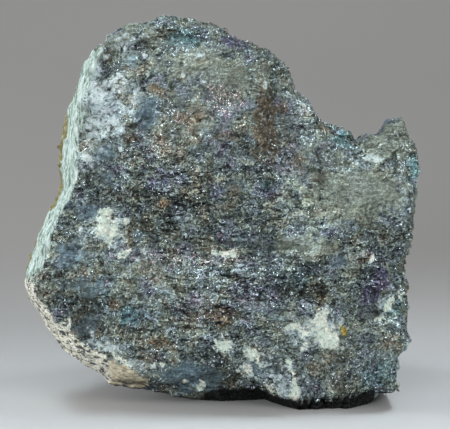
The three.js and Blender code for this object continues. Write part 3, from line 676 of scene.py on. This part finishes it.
oreSet = {
    "brightness": 0.84,
    "grains": [                    # fine, coarse and in blocks: size in mm and how far each one tilts
        (0.36, 1.5), (1.0, 0.5), (2.7, 0.3),
    ],
    "hueJitter": (0.02, 0.04, 0.08),          # from grain to grain, in the same order
    "fineShade": (0.33, 1.88),                # the darkest and the lightest grain
    "coarseShade": (0.86, 1.14),
    "blockShade": (0.92, 1.08),
    "roughContrast": 1.35,                    # power on the fine grains' shade where it is rough
    "levelled": (0.75, 0.5, 0.42),            # how far slate, olive film and even ground level the grains
    "streakShade": ((0.68, 1.26), (0.9, 1.1)),        # dark and light, on other ground and on even
    "fineStreakShade": ((0.78, 1.22), (0.6, 1.45)),
    "cloudShade": ((0.76, 1.24), (0.9, 1.1)),
    "bandShade": (0.6, 1.5),                  # in the dark and the light bands
    "reliefShade": (0.62, 1.15),              # painted shade in hollows and painted highlight on high spots
    "ledgeShadowAmount": 0.95,
    "creaseShadeAmount": 0.3,
    "regions": [                   # tarnish from place to place
        (0.26, screenColour(138, 132, 145)), (0.38, screenColour(129, 142, 149)),
        (0.48, screenColour(135, 149, 145)), (0.56, screenColour(142, 151, 140)),
        (0.66, screenColour(150, 149, 134)), (0.76, screenColour(150, 138, 124)),
    ],
    "tints": [                     # over it, one after the other: finish, amount, colour
        ("oliveFilm", 0.7, screenColour(142, 153, 137)), ("violetTarnish", 0.66, screenColour(104, 92, 138)),
        ("tealTarnish", 0.62, screenColour(90, 142, 148)), ("brownStain", 0.7, screenColour(130, 109, 82)),
        ("slateBlue", 0.74, screenColour(78, 107, 120)),
    ],
    "edges": {                     # of each finish: cell of the torn edge in mm, how ragged, how soft
        "oliveFilm": (2.0, 0.9, 0.25), "slateBlue": (1.8, 1.2, 0.25), "brownStain": (1.5, 1.3, 0.3),
        "violetTarnish": (1.5, 1.3, 0.3), "tealTarnish": (1.5, 1.3, 0.3), "darkToneAndShade": (4.0, 0.8, 0.4),
        "paleToneAndLight": (4.0, 0.8, 0.4), "roseGlints": (1.4, 1.2, 0.3), "blueGlints": (1.4, 1.2, 0.3),
        "brass": (0.7, 1.4, 0.1), "paleFilm": (1.6, 2.2, 0.22), "creamCrust": (1.2, 2.4, 0.12),
        "mintRind": (1.2, 2.6, 0.28), "creamRind": (2.0, 1.7, 0.1), "ochreLayer": (2.0, 0.8, 0.2),
        "tan": (4.0, 0.6, 0.3),
    },
    "glintLimit": 1.04,            # the higher, the fewer
    "glintCluster": -0.22,         # and how much more easily they come inside a cluster
    "glintAmount": (0.7, 1.0),     # on other ground and on rough
    "tintedGlints": (0.76, 0.8),   # the random pick from which grains glint rose or blue
    "roseAmount": 0.62,
    "blueAmount": 0.75,
    "filmAmount": (0.25, 0.8),
    "crustAmount": 0.92,
    "crustPales": (60, 66),        # mm up the lean of the face, where the crust turns to the film's colour
    "stripGrain": math.radians(-35),          # the way that strands and flecks lie in the strip
    "rindGrain": math.radians(14),            # and that the fibres lie in the mint rind
    "gloss": (0.26, 0.5),          # roughness of the bare grains
    "glintGloss": -0.12,
    "earthyRoughness": 0.85,
    "bump": (0.6, 0.3 * mm),       # strength and distance
    # the colours of the painted glints
    "rose": screenColour(228, 206, 206),
    "ice": screenColour(206, 222, 232),
    # the painted shadow's colour, in the gaps under ledges and in the creases
    "gap": screenColour(34, 36, 38),
    # near black, painted on the underside as its shade
    "underside": screenColour(20, 21, 22),
    "brass": screenColour(172, 154, 78),
    "film": screenColour(198, 214, 219),
    "paleMint": screenColour(208, 224, 210),
    "cream": screenColour(246, 246, 232),
    "creamDeep": screenColour(204, 209, 196),
    "mint": screenColour(186, 205, 198),
    "mintDark": screenColour(84, 102, 92),
    "rindWhite": screenColour(202, 215, 211),
    "ochre": screenColour(110, 104, 62),
    "rind": screenColour(228, 229, 217),
    "rindDeep": screenColour(186, 178, 156),
    "tan": screenColour(198, 188, 162),
    "fleck": screenColour(58, 62, 62),
}


def makeOre(s):
    material = bpy.data.materials.new("tarnishedOre")
    material.use_nodes = True
    tree = material.node_tree
    shader = tree.nodes["Principled BSDF"]
    grainGroup, patchGroup = makeGrainGroup(), makePatchGroup()

    place = addNode(tree, "TexCoord").outputs["Object"]
    place = placed(tree, place, (1 / mm,) * 3, (leanBack, 0, 0))     # now in mm, square to the face
    sides = addNode(tree, "SeparateXYZ")
    feed(tree, sides.inputs[0], place)
    drift = vectorMath(tree, "SCALE", cloudy(tree, place, 0.12, 2, output="Color"), scale=5.0)
    streaky = placed(tree, vectorMath(tree, "ADD", place, drift), (0.17, 0.7, 1))

    def painted(name):
        return addNode(tree, "Attribute", attribute_name=name).outputs["Fac"]

    def zone(name, vector=place):
        size, ragged, soft = s["edges"][name]
        patch = painted(name)
        torn = useGroup(tree, patchGroup, Patch=patch, Vector=vector, Size=size, Ragged=ragged, Soft=soft)
        return torn["Mask"]

    fine, coarse, blocks = (
        useGroup(tree, grainGroup, Vector=place, Size=size, Tilt=tilt) for size, tilt in s["grains"])
    streaks = cloudy(tree, streaky, 1.1, 4, 0.62, 0.4)
    fineStreaks = cloudy(tree, placed(tree, streaky, (1.3, 3.0, 2.0)), 1.1, 3, 0.6, 0.3)
    clouds = cloudy(tree, place, 0.2, 3, 0.55, 0.5)
    mottle = cloudy(tree, place, 0.9, 5, 0.62)
    rough, even = painted("rough"), painted("even")

    # the sulphide's own colour
    regions = addNode(tree, "ValToRGB")
    ramp = regions.color_ramp
    for i, (position, colour) in enumerate(s["regions"]):
        stop = ramp.elements[i] if i < 2 else ramp.elements.new(position)
        stop.position, stop.color = position, colour
    hue = cloudy(tree, place, 0.17, 3, 0.6)
    for grains, share in zip((blocks, coarse, fine), reversed(s["hueJitter"])):
        hue = reckon(tree, "MULTIPLY_ADD", reckon(tree, "SUBTRACT", grains["Hue"], 0.5), share, hue)
    feed(tree, regions.inputs[0], hue)
    colour = regions.outputs[0]
    masks = {}
    for name, amount, tint in s["tints"]:
        masks[name] = zone(name)
        colour = blended(tree, times(tree, masks[name], amount), colour, tint)
    olive, slate = masks["oliveFilm"], masks["slateBlue"]

    # light and dark grains, and the streaks of the foliation
    def striped(pattern, low, high, onOther, onEven):
        darkest, lightest = (between(tree, even, *pair) for pair in zip(onOther, onEven))
        return ramped(tree, pattern, low, high, darkest, lightest)

    shade = between(tree, fine["Shade"], *s["fineShade"])
    shade = reckon(tree, "POWER", shade, between(tree, rough, 1.0, s["roughContrast"]))
    shade = times(tree, shade, between(tree, coarse["Shade"], *s["coarseShade"]))
    shade = times(tree, shade, between(tree, blocks["Shade"], *s["blockShade"]))
    evenness = largest(tree, *(times(tree, *pair) for pair in zip((slate, olive, even), s["levelled"])))
    shade = reckon(tree, "MULTIPLY_ADD", shade, remainder(tree, evenness), evenness)
    shade = times(tree, shade, striped(streaks, 0.3, 0.7, *s["streakShade"]))
    shade = times(tree, shade, striped(fineStreaks, 0.3, 0.7, *s["fineStreakShade"]))
    # darker and lighter bands: partly the stone's own tone, partly painted shade and light
    for name, amount in zip(("darkToneAndShade", "paleToneAndLight"), s["bandShade"]):
        shade = times(tree, shade, between(tree, zone(name), 1.0, amount))
    shade = times(tree, shade, striped(clouds, 0.35, 0.65, *s["cloudShade"]))
    # painted shade in the hollows and painted highlight on the high spots
    for name, amount in zip(("hollow", "proudHighlight"), s["reliefShade"]):
        shade = times(tree, shade, between(tree, painted(name), 1.0, amount))
    shade = times(tree, shade, s["brightness"])
    shadeColour = addNode(tree, "CombineColor")
    for socket in shadeColour.inputs:
        feed(tree, socket, shade)
    colour = blended(tree, 1.0, colour, shadeColour.outputs[0], "MULTIPLY")

    # painted shadows: black in the gaps under the little ledges, and darker in the creases
    ledgeShadows = reckon(tree, "MULTIPLY_ADD", rough, 0.06, remainder(tree, streaks))
    ledgeShadows = times(tree, ramped(tree, ledgeShadows, 0.60, 0.67), remainder(tree, evenness))
    colour = blended(tree, times(tree, ledgeShadows, s["ledgeShadowAmount"]), colour, s["gap"])
    # painted shade in the creases
    colour = blended(tree, times(tree, painted("crease"), s["creaseShadeAmount"]), colour, s["gap"])

    # painted glints, in clusters: pale grains made metallic and glossier, whose bright colour also stands in
    # for their sparkle
    cluster = cloudy(tree, place, 0.4, 3, 0.6)
    limit = reckon(tree, "MULTIPLY_ADD", cluster, s["glintCluster"], s["glintLimit"])
    glint = ramped(tree, reckon(tree, "SUBTRACT", fine["Pick"], limit), 0.0, 0.02)
    quiet = largest(tree, olive, slate, times(tree, even, 0.6))
    glint = times(tree, glint, between(tree, quiet, 1.0, 0.25))
    picked = ramped(tree, fine["Pick"], *s["tintedGlints"])
    rose, blue = times(tree, picked, zone("roseGlints")), times(tree, picked, zone("blueGlints"))
    colour = blended(tree, times(tree, glint, between(tree, rough, *s["glintAmount"])), colour, s["ice"])
    colour = blended(tree, times(tree, rose, s["roseAmount"]), colour, s["rose"])
    colour = blended(tree, times(tree, blue, s["blueAmount"]), colour, s["ice"])
    sparkle = largest(tree, glint, blue, rose)
    colour = blended(tree, zone("brass"), colour, s["brass"])

    # pale film, and crust where it has built up
    film = times(tree, zone("paleFilm"), ramped(tree, mottle, 0.35, 0.6, *s["filmAmount"]))
    colour = blended(tree, film, colour, s["film"])
    crust = zone("creamCrust")
    creamy = ramped(tree, cloudy(tree, place, 0.35, 3), 0.45, 0.62)
    crustColour = blended(tree, creamy, s["paleMint"], s["cream"])
    crustColour = blended(tree, ramped(tree, mottle, 0.45, 0.65), crustColour, s["creamDeep"])
    paled = ramped(tree, sides.outputs["Z"], *s["crustPales"], 0, 0.8)
    crustColour = blended(tree, paled, crustColour, s["film"])
    specks = ramped(tree, cloudy(tree, place, 1.5, 4, 0.7), 0.55, 0.62)
    crustColour = blended(tree, times(tree, specks, 0.7), crustColour, s["mintDark"])
    colour = blended(tree, times(tree, crust, s["crustAmount"]), colour, crustColour)

    # rind: mint and dark streaks along the edge, cream with flecks below, tan at the end of it
    alongRind = placed(tree, place, (1.2, 1, 0.3))
    mintRind = zone("mintRind", alongRind)
    creamRind, ochre, tan = zone("creamRind"), zone("ochreLayer"), zone("tan")
    fibres = cloudy(tree, placed(tree, place, (1.5, 1.5, 0.13), (0, s["rindGrain"], 0)), 1.0, 6, 0.68, 0.3)
    mintColour = blended(tree, ramped(tree, fibres, 0.4, 0.59), s["mintDark"], s["mint"])
    mintColour = blended(tree, ramped(tree, mottle, 0.5, 0.68, 0, 0.6), mintColour, s["mintDark"])
    whitened = ramped(tree, cloudy(tree, alongRind, 0.35, 4, 0.65), 0.46, 0.62, 0, 0.7)
    mintColour = blended(tree, whitened, mintColour, s["rindWhite"])
    colour = blended(tree, mintRind, colour, mintColour)
    ochreColour = blended(tree, ramped(tree, mottle, 0.45, 0.8), s["ochre"], s["rindDeep"])
    colour = blended(tree, ochre, colour, ochreColour)
    rindColour = blended(tree, ramped(tree, mottle, 0.4, 0.65), s["rind"], s["rindDeep"])
    rindColour = blended(tree, tan, rindColour, s["tan"])
    strands = cloudy(tree, placed(tree, place, (0.22, 1, 1.6), (0, s["stripGrain"], 0)), 1.3, 4, 0.6)
    flecks = cloudy(tree, placed(tree, place, (0.55, 1, 1.1), (0, s["stripGrain"], 0)), 0.9, 5, 0.72)
    bunched = ramped(tree, cloudy(tree, place, 0.3, 2), 0.4, 0.56, -0.05, 0.04)
    flecks = ramped(tree, reckon(tree, "ADD", flecks, bunched), 0.51, 0.57)
    flecks = times(tree, flecks, between(tree, tan, 1.0, 0.35))
    rindColour = blended(tree, times(tree, ramped(tree, strands, 0.5, 0.62), 0.55), rindColour, s["fleck"])
    rindColour = blended(tree, flecks, rindColour, s["fleck"])
    colour = blended(tree, creamRind, colour, rindColour)
    # the underside painted near black, as shade
    colour = blended(tree, painted("underside"), colour, s["underside"])
    feed(tree, shader.inputs["Base Color"], colour)

    # earthy finishes aren't metal
    earthy = largest(tree, crust, times(tree, film, 0.8), mintRind, creamRind, ochre)
    earthy = times(tree, earthy, remainder(tree, painted("underside")))
    metal = times(tree, between(tree, olive, 0.7, 0.4), between(tree, slate, 1.0, 0.5))
    metal = times(tree, largest(tree, metal, sparkle), remainder(tree, earthy))
    feed(tree, shader.inputs["Metallic"], metal)
    gloss = between(tree, coarse["Pick"], *s["gloss"])
    gloss = reckon(tree, "MULTIPLY_ADD", sparkle, s["glintGloss"], gloss)
    dull = times(tree, earthy, s["earthyRoughness"])
    feed(tree, shader.inputs["Roughness"], largest(tree, gloss, dull))

    # grains tilt, and everything is finely uneven
    fineLean = vectorMath(tree, "SCALE", fine["Lean"], scale=between(tree, even, 1.0, 0.75))
    coarseLean = vectorMath(tree, "SCALE", coarse["Lean"], scale=between(tree, even, 1.0, 0.5))
    calm = largest(tree, times(tree, slate, 0.6), times(tree, olive, 0.6), times(tree, earthy, 0.85))
    leaning = vectorMath(tree, "ADD", fineLean, coarseLean)
    leaning = vectorMath(tree, "SCALE", leaning, scale=remainder(tree, calm))
    tilted = vectorMath(tree, "ADD", addNode(tree, "NewGeometry").outputs["Normal"], leaning)
    relief = reckon(tree, "MULTIPLY_ADD", fibres, mintRind, cloudy(tree, place, 1.8, 5, 0.7))
    relief = reckon(tree, "MULTIPLY_ADD", streaks, times(tree, rough, 1.2), relief)
    bump = addNode(tree, "Bump")
    bump.inputs["Strength"].default_value, bump.inputs["Distance"].default_value = s["bump"]
    feed(tree, bump.inputs["Height"], relief)
    feed(tree, bump.inputs["Normal"], vectorMath(tree, "NORMALIZE", tilted))
    feed(tree, shader.inputs["Normal"], bump.outputs[0])
    return material


stone.data.materials.clear()
stone.data.materials.append(makeOre(oreSet))
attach(stone, "root")
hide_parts("ore_chunk")
print("stone finished")

studioSet = {
    "floorSize": 8,
    "floorColour": (0.45, 0.45, 0.45, 1),
    "floorRoughness": 0.9,
    "floorSpecular": 0.1,
    "world": (0.342, 0.34, 0.336, 1),
    "lamps": {                     # places and sizes in metres; spread is the angle the light keeps to
        "keyLight": {"at": (-0.22, 0.06, 0.50), "aim": (-0.07, -0.10, 0), "size": 0.15, "watts": 0.138,
                     "spread": 45, "colour": (0.87, 1.0, 1.08)},
        "fillLight": {"at": (0.22, 0.08, 0.50), "aim": (0.10, -0.07, 0), "size": 0.13, "watts": 0.145,
                      "spread": 45, "colour": (0.89, 1.0, 1.08)},
        "backLight": {"at": (0, 1.1, 0.7), "aim": (0, 0.95, 0), "size": 0.5, "watts": 0.38,
                      "spread": 110, "colour": (1, 0.99, 0.98)},
        "frontLight": {"at": (-0.5, -0.95, 0.29), "aim": (0, 0, 0.03), "size": 0.35, "watts": 5.4,
                       "spread": 180, "colour": (0.97, 1, 1.02)},
        "leftLight": {"at": (-1.256, 0, 0.336), "aim": (0, 0, 0.03), "size": 0.6, "watts": 9.3,
                      "spread": 180, "colour": (1, 1, 1)},
        "rightLight": {"at": (0.704, -0.704, 0.836), "aim": (0, 0, 0.03), "size": 0.6, "watts": 3.6,
                       "spread": 180, "colour": (1, 0.98, 0.96)},
    },
}


def makeFloor(s):
    bm = bmesh.new()
    bmesh.ops.create_grid(bm, x_segments=1, y_segments=1, size=s["floorSize"] / 2)
    mesh = bpy.data.meshes.new("studioFloor")
    bm.to_mesh(mesh)
    bm.free()
    floor = bpy.data.objects.new("studioFloor", mesh)
    bpy.context.scene.collection.objects.link(floor)
    paper = bpy.data.materials.new("palePaper")
    paper.use_nodes = True
    shader = paper.node_tree.nodes["Principled BSDF"]
    shader.inputs["Base Color"].default_value = s["floorColour"]
    shader.inputs["Roughness"].default_value = s["floorRoughness"]
    shader.inputs["Specular IOR Level"].default_value = s["floorSpecular"]
    mesh.materials.append(paper)


def makeLight(name, s):
    data = bpy.data.lights.new(name, "AREA")
    data.shape = "SQUARE"
    data.size = s["size"]
    data.energy = s["watts"]
    data.spread = math.radians(s["spread"])
    data.color = s["colour"]
    lamp = bpy.data.objects.new(name, data)
    bpy.context.scene.collection.objects.link(lamp)
    lamp.location = s["at"]
    beam = Vector(s["aim"]) - Vector(s["at"])
    lamp.rotation_euler = beam.to_track_quat("-Z", "Y").to_euler()


def makeWorld(s):
    world = bpy.data.worlds.new("studioAir")
    world.use_nodes = True
    world.node_tree.nodes["Background"].inputs["Color"].default_value = s["world"]
    bpy.context.scene.world = world


makeFloor(studioSet)
for lampName, lampSet in studioSet["lamps"].items():
    makeLight(lampName, lampSet)
makeWorld(studioSet)
bpy.context.scene.view_settings.view_transform = "Standard"
print("studio lit")
